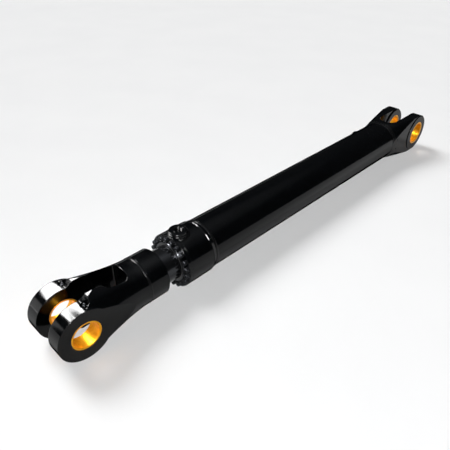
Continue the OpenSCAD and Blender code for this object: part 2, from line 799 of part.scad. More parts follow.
// the slot for the mating lug, with a wider rounded relief between its root and the eyes
module clevis_slot_cut() {
    half = rod_relief / 2;
    rear_x = slot_root_x + relief_rear_r;
    front_x = relief_front_x - relief_front_r;
    translate([0, 0, -far / 2]) linear_extrude(far) {
        translate([slot_round_x, -rod_slot / 2]) square([far, rod_slot]);
        translate([slot_root_x, relief_rear_r - half])
            square([front_x - slot_root_x, 2 * (half - relief_rear_r)]);
        translate([rear_x, -half]) square([front_x - rear_x, 2 * half]);
        translate([front_x - 1, relief_front_r - half])
            square([relief_front_r + 1, 2 * (half - relief_front_r)]);
        for (side = [-1, 1]) {
            translate([rear_x, side * (half - relief_rear_r)]) circle(r = relief_rear_r, $fn = fine);
            translate([front_x, side * (half - relief_front_r)]) circle(r = relief_front_r, $fn = fine);
        }
    }
}

module rod_clevis() {
    color([0.05, 0.05, 0.06]) difference() {
        union() {
            intersection() {
                clevis_flare();
                translate([0, rod_width / 2, 0]) rotate([90, 0, 0])
                    linear_extrude(rod_width) clevis_side();
            }
            pin_disc(rod_x, -rod_width / 2, rod_width / 2, rod_eye_r);
        }
        clevis_slot_cut();
        pin_disc(rod_x, -far / 2, far / 2, rod_bush_od / 2);
        for (side = [-1, 1])
            nipple_hole(rod_x, side * rod_nipple_y, rod_nipple_seat_r, rod_nipple_angle,
                rod_pocket_r);
    }
}

module rod_bushing_left() {
    color([0.8, 0.5, 0.12])
        bushing(rod_x, rod_slot / 2, rod_width / 2, rod_bush_od / 2, rod_pin_d / 2);
}

module rod_bushing_right() {
    color([0.8, 0.5, 0.12])
        bushing(rod_x, -rod_width / 2, -rod_slot / 2, rod_bush_od / 2, rod_pin_d / 2);
}

module rod_grease_nipples() {
    color([0.7, 0.7, 0.68]) for (side = [-1, 1])
        nipple(rod_x, side * rod_nipple_y, rod_nipple_seat_r, rod_nipple_angle);
}

base_clevis();
base_weld_bead();
base_bushing_left();
base_bushing_right();
base_grease_nipples();
barrel_tube();
base_port_boss();
base_port_weld();
head_weld_bead();
barrel_head();
head_port_boss();
head_port_weld();
gland_flange();
gland_screws_set();
gland_o_ring();
gland_backup_ring();
gland_wiper();
gland_rod_seal();
gland_guide_front();
gland_guide_rear();
sleeve_tube();
sleeve_head();
sleeve_wiper();
sleeve_rod_seal();
sleeve_guide_bush();
sleeve_piston();
sleeve_piston_seal();
sleeve_piston_guide_front();
sleeve_piston_guide_rear();
sleeve_lock_screws();
sleeve_stop_tube();
rod_guide_front();
rod_guide_rear();
rod_tube();
rod_foot_plug();
rod_foot_piston();
rod_foot_nut();
rod_stop_tube();
rod_end_collar();
clevis_weld_bead();
rod_clevis();
rod_bushing_left();
rod_bushing_right();
rod_grease_nipples();
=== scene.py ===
"""Looks of a two-stage telescopic hydraulic cylinder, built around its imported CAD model, in metres."""

import math

import bpy
from mathutils import Matrix, Vector


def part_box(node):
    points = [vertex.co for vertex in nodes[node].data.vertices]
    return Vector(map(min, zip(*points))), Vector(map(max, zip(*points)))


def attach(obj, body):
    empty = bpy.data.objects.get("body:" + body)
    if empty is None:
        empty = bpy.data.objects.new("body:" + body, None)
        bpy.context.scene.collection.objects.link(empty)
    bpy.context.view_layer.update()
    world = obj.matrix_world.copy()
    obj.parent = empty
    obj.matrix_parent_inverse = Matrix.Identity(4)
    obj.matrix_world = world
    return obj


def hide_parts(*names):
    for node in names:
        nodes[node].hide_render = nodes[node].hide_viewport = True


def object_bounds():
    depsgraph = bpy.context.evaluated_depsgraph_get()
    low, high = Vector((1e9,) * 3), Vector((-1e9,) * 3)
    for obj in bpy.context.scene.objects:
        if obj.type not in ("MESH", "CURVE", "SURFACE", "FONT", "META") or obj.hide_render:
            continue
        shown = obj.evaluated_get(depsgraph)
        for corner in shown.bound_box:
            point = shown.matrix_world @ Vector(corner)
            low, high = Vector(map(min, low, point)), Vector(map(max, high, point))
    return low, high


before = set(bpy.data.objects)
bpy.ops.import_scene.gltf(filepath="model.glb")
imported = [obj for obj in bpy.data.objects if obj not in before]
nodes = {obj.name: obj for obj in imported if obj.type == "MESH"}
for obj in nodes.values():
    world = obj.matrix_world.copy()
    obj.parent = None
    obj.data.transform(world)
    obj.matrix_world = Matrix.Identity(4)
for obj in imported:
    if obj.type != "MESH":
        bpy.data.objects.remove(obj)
cad_low, cad_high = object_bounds()

MM = 0.001
TURN = 2 * math.pi

# camera
LENS_MM = 36.15
SENSOR_MM = 36.0
CAMERA_CLIP_END = 200
CAMERA_PLACE = Vector((2.5566, 1.0196, 1.0661))
CAMERA_AZIMUTH = math.radians(46.32)      # from +Y towards +X, on the side that the camera stands
CAMERA_ELEVATION = math.radians(35.283)
CAMERA_ROLL = math.radians(1.241)

# lights: suns in W/m2, the point lamp in W, the panels in W/(sr m2)
KEY_SUN = 2.0
KEY_SUN_AZIMUTH_DEG = -88
KEY_SUN_ELEVATION_DEG = 47
KEY_SUN_WIDTH_DEG = 28
OVERHEAD_FILL = 1.56
FRONT_FILL = 27.0
FRONT_FILL_PLACE = (2.5, 1.0, 1.9)

# panels that only show in reflections: radiance, centre, the point faced, width and height
PANELS = {
    "softbox": (62.0, (2.14, -1.0, 1.055), (2.14, 0, 1.055), 1.30, 0.39),
    "side_panel": (1.9, (3.6, -1.9, 0.35), (2.1, 0, 0), 1.0, 1.2),
    "edge_panel": (150.0, (2.84, 0.92, 1.32), (1.70, 0, 0.1), 0.60, 0.55),
    "rim_panel": (130.0, (2.42, -0.88, 1.47), (1.75, 0, 0.1), 0.32, 0.34),
}

# the dome: level at shares of the way from the horizon to straight up, and the tint of all of it
DOME_STOPS = ((0.0, 0.03), (0.42, 0.05), (0.50, 0.17), (0.61, 0.32), (0.72, 0.80), (1.0, 1.3))
DOME_TINT = (0.75, 0.77, 0.80)

# floor
FLOOR_CENTRE = (1.1, 0)
FLOOR_RINGS = (0.5, 2.0, 8.0, 45.0)
FLOOR_AROUND = 96

# paint
PAINT_LEVEL = 0.17
PAINT_GRAZING = 0.0
PAINT_FADE_FROM = 0.48
PAINT_FADE_TO = 0.80
PAINT_EDGE_R = 1.3 * MM
CLEVIS_EDGE_R = 3.0 * MM

# sizes of details that aren't on the CAD nodes' boxes
THREAD_PITCH = 2.309 * MM
THREAD_DEPTH = 1.45 * MM
PORT_HOLE_R = 15.15 * MM
SCREW_COUNT = 20
SCREW_HEAD_R = 9 * MM
SCREW_HEAD_H = 12 * MM
SOCKET_ACROSS = 10 * MM
SOCKET_DEPTH = 6 * MM
SCREW_SHANK_R = 6 * MM
NIPPLE_AXIS_DEG = {"base": 225.0, "rod": 105.0}
NIPPLE_RIM_R = {"base": 101.4 * MM, "rod": 88 * MM}
NIPPLE_INSET = 6.35 * MM
NIPPLE_HEX_INNER_R = 5.5 * MM
NIPPLE_TAIL_Z = -7.6 * MM
NIPPLE_TIP_Z = 13.8 * MM
NIPPLE_NECK_MM = ((4.5, 5.0), (4.4, 5.5), (3.5, 6.8), (2.95, 7.6), (2.9, 8.8), (3.3, 9.6))
NIPPLE_HEAD_MM = ((3.85, 10.3), (3.9, 10.9), (3.5, 12.0), (2.7, 13.1), (2.0, 13.7), (1.3, 13.9))
NIPPLE_BALL_MM = ((1.05, 13.75), (0.95, 13.4), (0.8, 13.55), (0.4, 13.75))
FILLET_LEG = 7 * MM
FILLET_RISE = 5.5 * MM
BOSS_STEP_DOWN = 8 * MM
SCREW_THREAD_PITCH = 1.75 * MM
WIPER_PLAY = 0.05 * MM

# edges that turn by more than these stay sharp
WELD_SHARP_DEG = 50
BOSS_SHARP_DEG = 28
SCREW_SHARP_DEG = 24
NIPPLE_SHARP_DEG = 26
LATHE_SHARP_DEG = 30


# --- node trees ------------------------------------------------------------------------------------

class Shader:
    """A material's node tree, with short calls that add and link its nodes."""

    def __init__(self, name):
        self.material = bpy.data.materials.new(name)
        self.material.use_nodes = True
        self.tree = self.material.node_tree
        self.tree.nodes.clear()
        self.place = self.add("ShaderNodeTexCoord").outputs["Object"]
        split = self.add("ShaderNodeSeparateXYZ", {0: self.place})
        self.x, self.y, self.z = split.outputs

    def add(self, kind, inputs=None, **settings):
        """a node, with its settings, and its inputs given values or links"""
        node = self.tree.nodes.new(kind)
        for key, value in settings.items():
            setattr(node, key, value)
        for key, value in (inputs or {}).items():
            self.put(node.inputs[key], value)
        return node

    def put(self, socket, value):
        if isinstance(value, bpy.types.NodeSocket):
            self.tree.links.new(value, socket)
        else:
            socket.default_value = value

    def math(self, operation, a, b=0.0):
        return self.add("ShaderNodeMath", {0: a, 1: b}, operation=operation).outputs[0]

    def noise(self, scale, detail=3.0, rough=0.5, vector=None):
        """fractal noise over the object's own coordinates, in cycles per metre"""
        inputs = {"Vector": vector or self.place, "Scale": scale, "Detail": detail, "Roughness": rough}
        return self.add("ShaderNodeTexNoise", inputs).outputs[0]

    def ramp(self, value, low, high, to_low=0.0, to_high=1.0):
        """value from low..high to to_low..to_high, smoothly and held at the ends"""
        inputs = {"Value": value, "From Min": low, "From Max": high}
        inputs.update({"To Min": to_low, "To Max": to_high})
        return self.add("ShaderNodeMapRange", inputs, interpolation_type="SMOOTHSTEP").outputs[0]

    def mix(self, factor, a, b):
        node = self.add("ShaderNodeMix", {0: factor, 6: a, 7: b}, data_type="RGBA")
        return node.outputs[2]

    def stretched(self, sx, sy, sz):
        """the object's coordinates with a scale of their own along each axis"""
        return self.add("ShaderNodeVectorMath", {0: self.place, 1: (sx, sy, sz)},
                        operation="MULTIPLY").outputs[0]

    def rounded(self, radius):
        """the surface normal with every sharp edge rounded to that radius"""
        return self.add("ShaderNodeBevel", {"Radius": radius}, samples=6).outputs[0]

    def edges(self, rounded, low=0.015, high=0.12):
        """1 on sharp edges and 0 away from them"""
        flat = self.add("ShaderNodeNewGeometry").outputs["Normal"]
        dot = self.add("ShaderNodeVectorMath", {0: rounded, 1: flat}, operation="DOT_PRODUCT")
        return self.ramp(self.math("SUBTRACT", 1.0, dot.outputs["Value"]), low, high)

    def bump(self, height, distance, normal=None):
        """a normal that a height tilts, over another normal if one is given"""
        inputs = {"Height": height, "Distance": distance, "Strength": 1.0}
        if normal is not None:
            inputs["Normal"] = normal
        return self.add("ShaderNodeBump", inputs).outputs[0]

    def turned(self, about, lines, around):
        """fine lines that run round an axis, as a lathe or a grinder leaves them"""
        axial, across = (self.x, self.y) if about == "X" else (self.y, self.x)
        radius = self.math("SQRT", self.math("ADD", self.math("MULTIPLY", across, across),
                                             self.math("MULTIPLY", self.z, self.z)))
        parts = {0: self.math("MULTIPLY", axial, lines), 1: self.math("MULTIPLY", radius, lines),
                 2: self.math("MULTIPLY", self.z, around)}
        vector = self.add("ShaderNodeCombineXYZ", parts).outputs[0]
        return self.noise(1.0, 2.0, 0.6, vector)

    def gloss(self, level, grazing):
        """a specular level that falls off on surfaces seen nearly edge on"""
        facing = self.add("ShaderNodeLayerWeight", {"Blend": 0.5}).outputs["Facing"]
        return self.ramp(facing, PAINT_FADE_FROM, PAINT_FADE_TO, level, grazing)

    def surface(self, colour, roughness, normal, **more):
        """closes the tree with a Principled shader and gives back the material"""
        inputs = {"Base Color": colour, "Roughness": roughness, "Normal": normal}
        inputs.update({key.replace("_", " "): value for key, value in more.items()})
        principled = self.add("ShaderNodeBsdfPrincipled", inputs)
        self.add("ShaderNodeOutputMaterial", {"Surface": principled.outputs[0]})
        return self.material


def colour(r, g, b):
    return (r, g, b, 1.0)


# --- materials -------------------------------------------------------------------------------------

def black_paint(name, edge_radius):
    """gloss black enamel: orange peel, faint runs and smudges, dust on top, thin paint on the edges"""
    s = Shader(name)
    smudge = s.noise(26, 5.0, 0.62)
    rounded = s.rounded(edge_radius)
    edge = s.math("MULTIPLY", s.edges(rounded), s.ramp(s.noise(160, 4.0, 0.7), 0.42, 0.62))
    grit = s.ramp(s.noise(1500, 2.0, 0.5), 0.70, 0.78)
    facing = s.add("ShaderNodeNewGeometry").outputs["Normal"]
    up = s.ramp(s.add("ShaderNodeSeparateXYZ", {0: facing}).outputs[2], 0.3, 1.0)
    dust = s.math("MULTIPLY", grit, up)
    cloud = s.ramp(smudge, 0.3, 0.7)
    deep = s.mix(cloud, colour(0.0006, 0.0009, 0.0013), colour(0.0013, 0.0017, 0.0023))
    worn = s.mix(s.math("MULTIPLY", edge, 0.6), deep, colour(0.030, 0.031, 0.033))
    tint = s.mix(s.math("MULTIPLY", dust, 0.35), worn, colour(0.10, 0.10, 0.095))
    rough = s.math("ADD", s.ramp(smudge, 0.35, 0.75, 0.085, 0.15), s.math("MULTIPLY", edge, 0.12))
    rough = s.math("ADD", rough, s.math("MULTIPLY", dust, 0.3))
    runs = s.bump(s.noise(1.0, 2.0, 0.5, s.stretched(9, 22, 14)), 0.10 * MM, rounded)
    peel = s.bump(s.noise(430, 2.0, 0.45), 0.008 * MM, runs)
    return s.surface(tint, rough, peel, Specular_IOR_Level=s.gloss(PAINT_LEVEL, PAINT_GRAZING))


def painted_weld():
    """the same enamel over a weld: fine spatter and a rougher, thinner coat on the crests"""
    s = Shader("painted_weld_look")
    rounded = s.rounded(0.6 * MM)
    spatter = s.noise(900, 4.0, 0.65)
    pores = s.ramp(s.noise(1400, 2.0, 0.5), 0.66, 0.74)
    crest = s.ramp(spatter, 0.35, 0.7)
    tint = s.mix(crest, colour(0.0012, 0.0015, 0.0019), colour(0.006, 0.006, 0.0065))
    height = s.math("SUBTRACT", spatter, pores)
    return s.surface(tint, s.ramp(spatter, 0.3, 0.7, 0.14, 0.30), s.bump(height, 0.06 * MM, rounded),
                     Specular_IOR_Level=s.gloss(PAINT_LEVEL, PAINT_GRAZING))


def bearing_bronze():
    """polished bronze with turning marks round the pin axis and darker, oiled patches"""
    s = Shader("bearing_bronze_look")
    lines = s.turned("Y", 2600, 40)
    stain = s.noise(70, 4.0, 0.6)
    tone = s.mix(s.ramp(stain, 0.35, 0.7), colour(0.84, 0.41, 0.016), colour(0.70, 0.31, 0.012))
    tone = s.mix(s.ramp(lines, 0.5, 0.85, 0.0, 0.45), tone, colour(0.50, 0.20, 0.02))
    rough = s.math("ADD", s.ramp(lines, 0.3, 0.7, 0.32, 0.42), s.ramp(stain, 0.4, 0.8, 0.0, 0.08))
    normal = s.bump(lines, 0.012 * MM, s.rounded(0.5 * MM))
    return s.surface(tone, rough, normal, Metallic=0.65, Specular_IOR_Level=0.15)


def black_oxide_steel():
    """blackened steel: dark film with an oily sheen, rubbed back to grey steel on the edges"""
    s = Shader("black_oxide_steel_look")
    rounded = s.rounded(0.4 * MM)
    rub = s.math("MULTIPLY", s.edges(rounded, 0.02, 0.2), s.ramp(s.noise(700, 3.0, 0.6), 0.35, 0.65))
    film = s.noise(240, 4.0, 0.6)
    tone = s.mix(s.ramp(film, 0.3, 0.7), colour(0.013, 0.014, 0.016), colour(0.028, 0.029, 0.032))
    tone = s.mix(s.math("MULTIPLY", rub, 0.45), tone, colour(0.16, 0.16, 0.165))
    normal = s.bump(s.noise(2400, 3.0, 0.6), 0.010 * MM, rounded)
    return s.surface(tone, s.ramp(film, 0.3, 0.7, 0.22, 0.36), normal, Metallic=0.9,
                     Specular_IOR_Level=0.35)


def nitrided_steel():
    """black nitrided and ground steel: very fine grinding lines round the rod, faint oil film"""
    s = Shader("nitrided_steel_look")
    lines = s.turned("X", 5200, 30)
    film = s.noise(1.0, 4.0, 0.55, s.stretched(9, 34, 34))
    tone = s.mix(s.ramp(film, 0.3, 0.7), colour(0.024, 0.025, 0.028), colour(0.036, 0.037, 0.040))
    tone = s.mix(s.ramp(lines, 0.62, 0.8, 0.0, 0.5), tone, colour(0.075, 0.075, 0.078))
    rough = s.math("ADD", s.ramp(lines, 0.3, 0.7, 0.09, 0.17), s.ramp(film, 0.4, 0.8, 0.0, 0.07))
    return s.surface(tone, rough, s.bump(lines, 0.0035 * MM, s.rounded(0.8 * MM)), Metallic=0.85,
                     Specular_IOR_Level=0.3)


def machined_steel():
    """bright turned steel with feed marks and a little storage oil"""
    s = Shader("machined_steel_look")
    lines = s.turned("X", 3000, 30)
    film = s.noise(40, 4.0, 0.6)
    tone = s.mix(s.ramp(film, 0.3, 0.7), colour(0.52, 0.52, 0.53), colour(0.40, 0.395, 0.38))
    tone = s.mix(s.ramp(lines, 0.55, 0.8, 0.0, 0.5), tone, colour(0.25, 0.25, 0.26))
    normal = s.bump(lines, 0.010 * MM, s.rounded(0.6 * MM))
    return s.surface(tone, s.ramp(lines, 0.3, 0.7, 0.22, 0.38), normal, Metallic=1.0)


def moulded(name, dark, light, low, high, grain):
    """a moulded elastomer or plastic: cloudy colour, fine grain, an oily film in patches"""
    s = Shader(name)
    cloud = s.noise(90, 4.0, 0.6)
    tone = s.mix(s.ramp(cloud, 0.3, 0.7), colour(*dark), colour(*light))
    fine = s.bump(s.noise(grain, 3.0, 0.55), 0.015 * MM, s.rounded(0.3 * MM))
    return s.surface(tone, s.ramp(cloud, 0.3, 0.7, low, high), fine)


def guide_composite():
    """fabric-filled resin: a fine plain weave under a dull machined skin"""
    s = Shader("guide_composite_look")
    warp = s.math("SINE", s.math("MULTIPLY", s.x, 5200.0))
    angle = s.math("ARCTAN2", s.z, s.y)
    weft = s.math("SINE", s.math("MULTIPLY", angle, 420.0))
    weave = s.math("MULTIPLY", warp, weft)
    fleck = s.noise(600, 4.0, 0.7)
    tone = s.mix(s.ramp(weave, -0.6, 0.6), colour(0.22, 0.14, 0.07), colour(0.42, 0.29, 0.15))
    tone = s.mix(s.ramp(fleck, 0.55, 0.75, 0.0, 0.5), tone, colour(0.12, 0.08, 0.04))
    return s.surface(tone, s.ramp(fleck, 0.3, 0.7, 0.45, 0.65), s.bump(weave, 0.02 * MM))


def floor_material():
    """a pale, matt painted floor with a trace of mottling and roller texture"""
    s = Shader("pale_floor_look")
    mottle = s.noise(2.2, 4.0, 0.5)
    tone = s.mix(s.ramp(mottle, 0.2, 0.8), colour(0.885, 0.888, 0.893), colour(0.905, 0.907, 0.910))
    grain = s.bump(s.noise(180, 3.0, 0.6), 0.03 * MM)
    return s.surface(tone, s.ramp(s.noise(40, 3.0, 0.5), 0.3, 0.7, 0.75, 0.9), grain,
                     Specular_IOR_Level=0.1)


LOOKS = {
    "black_paint": black_paint("black_paint_look", PAINT_EDGE_R),
    "painted_weld": painted_weld(),
    "bearing_bronze": bearing_bronze(),
    "black_oxide_steel": black_oxide_steel(),
    "nitrided_steel": nitrided_steel(),
    "machined_steel": machined_steel(),
    "guide_composite": guide_composite(),
    "black_rubber": moulded("black_rubber_look", (0.010, 0.010, 0.011), (0.022, 0.022, 0.022),
                            0.4, 0.6, 1800),
    "wiper_rubber": moulded("wiper_rubber_look", (0.010, 0.010, 0.011), (0.024, 0.023, 0.022),
                            0.3, 0.5, 1500),
    "seal_polyurethane": moulded("seal_polyurethane_look", (0.02, 0.09, 0.30), (0.04, 0.14, 0.40),
                                 0.22, 0.38, 1200),
    "backup_plastic": moulded("backup_plastic_look", (0.62, 0.58, 0.48), (0.74, 0.71, 0.62),
                              0.4, 0.55, 1600),
}

# nodes whose own edges are rounder than their slot's
OWN_LOOKS = {"rod_clevis": black_paint("clevis_paint_look", CLEVIS_EDGE_R)}


def dress_cad_nodes():
    """gives each CAD node the finish of its own material slot"""
    for name, node in nodes.items():
        for entry in node.material_slots:
            slot = entry.material.name.split(".")[0]
            entry.material = OWN_LOOKS.get(name, LOOKS[slot])


# --- meshes ----------------------------------------------------------------------------------------

def make_piece(name, vertices, faces, body, slot, replaced, sharp_deg):
    """a mesh object that rides on a body, stands for a CAD node and has its slot's finish"""
    mesh = bpy.data.meshes.new(name)
    mesh.from_pydata(vertices, [], faces)
    mesh.validate()
    mesh.shade_smooth()
    mesh.set_sharp_from_angle(angle=math.radians(sharp_deg))
    piece = bpy.data.objects.new(name, mesh)
    bpy.context.scene.collection.objects.link(piece)
    mesh.materials.append(LOOKS[slot])
    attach(piece, body)
    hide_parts(*replaced)


def skin_rings(rings, closed):
    """faces between rings of equal length; closed also joins the last ring to the first"""
    count = len(rings[0])
    vertices = [point for ring in rings for point in ring]
    faces = []
    pairs = len(rings) if closed else len(rings) - 1
    for i in range(pairs):
        a = i * count
        b = ((i + 1) % len(rings)) * count
        for j in range(count):
            k = (j + 1) % count
            faces.append((a + j, a + k, b + k, b + j))
    return vertices, faces


def cap(vertices, faces, start, count, centre, flip):
    """closes a ring that starts at an index with a fan to its centre"""
    vertices.append(centre)
    hub = len(vertices) - 1
    for j in range(count):
        k = (j + 1) % count
        faces.append((start + k, start + j, hub) if flip else (start + j, start + k, hub))


def circle(radius, z, around):
    """a ring of points about +Z"""
    return [(radius * math.cos(TURN * j / around), radius * math.sin(TURN * j / around), z)
            for j in range(around)]


def hexagon_r(inner_r, angle):
    """a hexagon's radius at an angle, from its inner radius"""
    off = (angle + math.pi / 6) % (math.pi / 3) - math.pi / 6
    return inner_r / math.cos(off)


def round_body_z(body_r, rho, angle):
    """the height of a round body's surface under a point of a port, whose axis crosses the body's"""
    return math.sqrt(max(0.0, body_r ** 2 - (rho * math.sin(angle)) ** 2))


def scallop(phase):
    """the height of overlapping weld ripples, from 0 at a step to 1 at a crest"""
    crest = 0.72
    part = phase % 1.0
    if part < crest:
        return math.sin(math.pi * min(part / crest, 1.0) / 2)
    return 1.0 - ((part - crest) / 0.28) ** 2


def bead_pass(angle, x0, r0, x1, r1, crown, pitch, wander):
    """one weld pass's section at an angle: points [x, radius] from its rear toe to its front toe"""
    steps = 9
    points = []
    drift = wander * (math.sin(5 * angle) + 0.6 * math.sin(11 * angle + 1.3))
    for i in range(steps + 1):
        u = 2 * i / steps - 1
        arch = (1 - u * u) ** 0.75
        phase = angle * r0 / pitch - 0.75 * (1 - u * u)
        height = crown * arch * (0.70 + 0.30 * scallop(phase)) * (1 + 0.08 * math.sin(7 * angle + 2))
        x = x0 + (x1 - x0) * (u + 1) / 2 + drift * (1 - u * u)
        points.append((x, r0 + (r1 - r0) * (u + 1) / 2 + height))
    return points


def weld_round_axis(name, passes, root, body, replaced, limits=None):
    """a closed ring of weld about the cylinder's axis: its passes, each as bead_pass takes them after
    the angle, over a buried root point"""
    around = 1080
    rings = []
    for i in range(around):
        angle = TURN * i / around
        section = []
        for one in passes:
            points = bead_pass(angle, *one)
            section += points if not section else points[1:]
        section.append(root)
        ring = []
        for x, r in section:
            y = r * math.cos(angle)
            z = r * math.sin(angle)
            if limits:
                y = max(-limits[0], min(limits[0], y))
                z = max(-limits[1], min(limits[1], z))
            ring.append((x, y, z))
        rings.append(ring)
    vertices, faces = skin_rings(rings, True)
    make_piece(name, vertices, faces, body, "painted_weld", replaced, WELD_SHARP_DEG)


def base_weld():
    """two passes between the base clevis and the barrel"""
    low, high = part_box("base_weld_bead")
    barrel_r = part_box("barrel_tube")[1].z
    middle = low.x + 14.5 * MM
    toe_r = barrel_r + 6.0 * MM
    join_r = barrel_r + 2.4 * MM
    wander = 0.25 * MM
    passes = [(low.x, toe_r, middle, join_r, 0.9 * MM, 4.2 * MM, wander),
              (middle, join_r, high.x, barrel_r, 1.3 * MM, 4.6 * MM, wander)]
    root = (middle, barrel_r - 7 * MM)
    limits = (high.y - 0.05 * MM, high.z - 0.05 * MM)
    weld_round_axis("base_weld", passes, root, "barrel", ["base_weld_bead"], limits)


def head_weld():
    """one pass between the barrel and its head"""
    low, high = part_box("head_weld_bead")
    barrel_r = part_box("barrel_tube")[1].z
    passes = [(low.x, barrel_r, high.x, barrel_r + 0.4 * MM, 1.3 * MM, 3.6 * MM, 0.2 * MM)]
    root = ((low.x + high.x) / 2, barrel_r - 6 * MM)
    weld_round_axis("head_weld", passes, root, "barrel", ["head_weld_bead"])


def clevis_weld():
    """one fine pass between the rod's collar and its clevis"""
    low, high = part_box("clevis_weld_bead")
    collar_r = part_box("rod_end_collar")[1].z
    passes = [(low.x, collar_r, high.x, collar_r, 0.85 * MM, 2.8 * MM, 0.12 * MM)]
    root = ((low.x + high.x) / 2, collar_r - 4 * MM)
    weld_round_axis("clevis_weld", passes, root, "rod", ["clevis_weld_bead"])


def to_port(point, centre_x, side):
    """from a port's own frame, with its axis up, to the head port (top) or the base port (-Y side)"""
    x, y, z = point
    return (centre_x + x, y, z) if side == "top" else (centre_x + x, -z, y)


def port_weld(name, cad_weld, cad_boss, body_r, side, last_x=None):
    """the fillet weld round a port boss's foot, which follows the round body below it"""
    low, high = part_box(cad_boss)
    centre_x = (low.x + high.x) / 2
    boss_r = (high.y - low.y) / 2 if side == "top" else (high.z - low.z) / 2
    root_r = boss_r - 1.5 * MM
    buried = ((root_r, 0.0), (root_r, 2 * MM), (boss_r + FILLET_LEG - MM, 2 * MM))
    ripple_r = boss_r + 3 * MM
    ripple_pitch = 3.4 * MM
    around = 420
    steps = 8
    rings = []
    for i in range(around):
        angle = TURN * i / around
        ring = []
        for j in range(steps + 1):
            t = j / steps
            reach = FILLET_LEG * (1 - t)
            lift = FILLET_RISE * t
            arch = math.sin(math.pi * t)
            phase = angle * ripple_r / ripple_pitch - 0.6 * arch
            swell = arch * MM * (0.2 + 0.9 * scallop(phase)) * (1 + 0.15 * math.sin(4 * angle))
            rho = boss_r - 0.3 * MM + reach + swell * 0.7
            foot = round_body_z(body_r, rho, angle)
            ring.append((rho, foot + lift + swell * 0.7 - 0.1 * MM))
        for rho, drop in buried:
            ring.append((rho, round_body_z(body_r, rho, angle) - drop))
        placed = []
        for rho, z in ring:
            point = to_port((rho * math.cos(angle), rho * math.sin(angle), z), centre_x, side)
            if last_x:
                point = (min(point[0], last_x), point[1], point[2])
            placed.append(point)
        rings.append(placed)
    vertices, faces = skin_rings(rings, True)
    make_piece(name, vertices, faces, "barrel", "painted_weld", [cad_weld], WELD_SHARP_DEG)


def port_boss(name, cad_boss, body_r, side, flange_x=None):
    """a port boss with its raised seal face, cut thread and drilled passage"""
    low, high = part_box(cad_boss)
    centre_x = (low.x + high.x) / 2
    top = high.z if side == "top" else -low.y
    boss_r = (high.y - low.y) / 2 if side == "top" else (high.z - low.z) / 2
    face_r = boss_r - 3 * MM
    step_z = top - BOSS_STEP_DOWN
    thread_r = PORT_HOLE_R + THREAD_DEPTH
    thread_top = top - 1.4 * MM
    thread_end = body_r + 0.4 * MM
    rows = 78
    around = 144

    def foot(rho, angle):
        if flange_x and centre_x + rho * math.cos(angle) > flange_x:
            return body_r + 1.0 * MM
        return round_body_z(body_r, rho, angle) - 0.6 * MM

    wall = [(boss_r, body_r + 1.6 * MM), (boss_r, step_z - 2 * MM),
            (boss_r - 0.5 * MM, step_z - 0.9 * MM), (boss_r - 1.3 * MM, step_z - 0.2 * MM),
            (boss_r - 2 * MM, step_z)]
    raised_face = [(face_r + 0.8 * MM, step_z), (face_r + 0.2 * MM, step_z + 0.3 * MM),
                   (face_r, step_z + 0.9 * MM), (face_r, top - 1.2 * MM),
                   (face_r - 0.4 * MM, top - 0.4 * MM), (face_r - 1.2 * MM, top)]
    seal_groove = [(PORT_HOLE_R + 7.2 * MM, top), (PORT_HOLE_R + 7.0 * MM, top - 0.35 * MM),
                   (PORT_HOLE_R + 3.4 * MM, top - 0.35 * MM), (PORT_HOLE_R + 3.2 * MM, top),
                   (PORT_HOLE_R + THREAD_DEPTH + 0.5 * MM, top)]
    sections = [[(boss_r, foot(boss_r, TURN * j / around)) for j in range(around)]]
    sections += [[point] * around for point in wall + raised_face + seal_groove]
    for i in range(rows + 1):
        z = thread_top + (thread_end - thread_top) * i / rows
        fade = min(1.0, i / 5, (rows - i) / 3)
        row = []
        for j in range(around):
            part = (z / THREAD_PITCH - j / around) % 1.0
            tooth = max(0.0, min(1.0, (abs(2 * part - 1) - 0.12) / 0.76))
            row.append((PORT_HOLE_R + THREAD_DEPTH * (1 - fade + fade * tooth), z))
        sections.append(row)
    sections.append([(thread_r, thread_end - 0.8 * MM)] * around)
    inner_r = boss_r - 4 * MM
    sections.append([(inner_r, min(foot(inner_r, TURN * j / around), thread_end) - 1.2 * MM)
                     for j in range(around)])
    rings = []
    for section in sections:
        ring = []
        for j, (rho, z) in enumerate(section):
            angle = TURN * j / around
            ring.append(to_port((rho * math.cos(angle), rho * math.sin(angle), z), centre_x, side))
        rings.append(ring)
    vertices, faces = skin_rings(rings, True)
    make_piece(name, vertices, faces, "barrel", "black_paint", [cad_boss], BOSS_SHARP_DEG)


